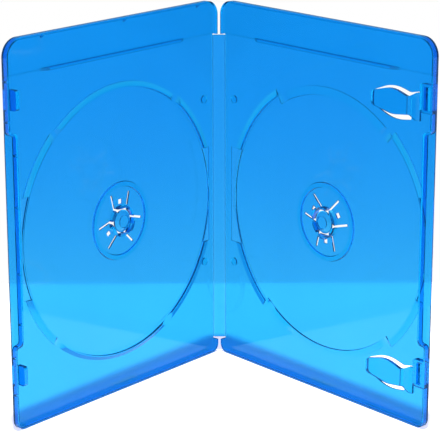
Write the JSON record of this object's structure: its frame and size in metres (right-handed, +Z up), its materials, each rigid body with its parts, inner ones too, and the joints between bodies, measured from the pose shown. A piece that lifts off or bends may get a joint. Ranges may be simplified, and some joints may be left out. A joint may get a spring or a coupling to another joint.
{
  "type": "slim two-disc video case",
  "caption": "Slim translucent plastic case that opens like a book on a flexing spine and holds a disc on a hub in each cover, with booklet clips and edge catches.",
  "frame": {"origin": "middle of the open case's footprint, on the floor it stands on", "axes": "+Z up along the spine, covers open towards -Y, front cover on the -X side and back cover on the +X side"},
  "size_m": [0.1798, 0.1046, 0.1715],
  "materials": {
    "case_plastic": "gloss translucent blue"
  },
  "bodies": {
    "spine": {"spine": "case_plastic"},
    "front": {"front_cover": "case_plastic"},
    "back": {"back_cover": "case_plastic"},
    "front_button": {"front_hub_button": "case_plastic"},
    "back_button": {"back_hub_button": "case_plastic"}
  },
  "joints": [
    {"name": "front_hinge", "type": "hinge", "parent": "spine", "child": "front", "pos_m": [-0.0028, 0.05186, 0], "axis": [0, 0, -1], "range_deg": [-40.3, 49.7]},
    {"name": "back_hinge", "type": "hinge", "parent": "spine", "child": "back", "pos_m": [0.0028, 0.05186, 0], "axis": [0, 0, 1], "range_deg": [-40.3, 49.7]},
    {"name": "front_button_press", "type": "slide", "parent": "front", "child": "front_button", "axis": [-0.7627, 0.6468, 0], "range_m": [0, 0.0007], "stiffness_N_per_m": 4000},
    {"name": "back_button_press", "type": "slide", "parent": "back", "child": "back_button", "axis": [0.7627, 0.6468, 0], "range_m": [0, 0.0007], "stiffness_N_per_m": 4000}
  ]
}
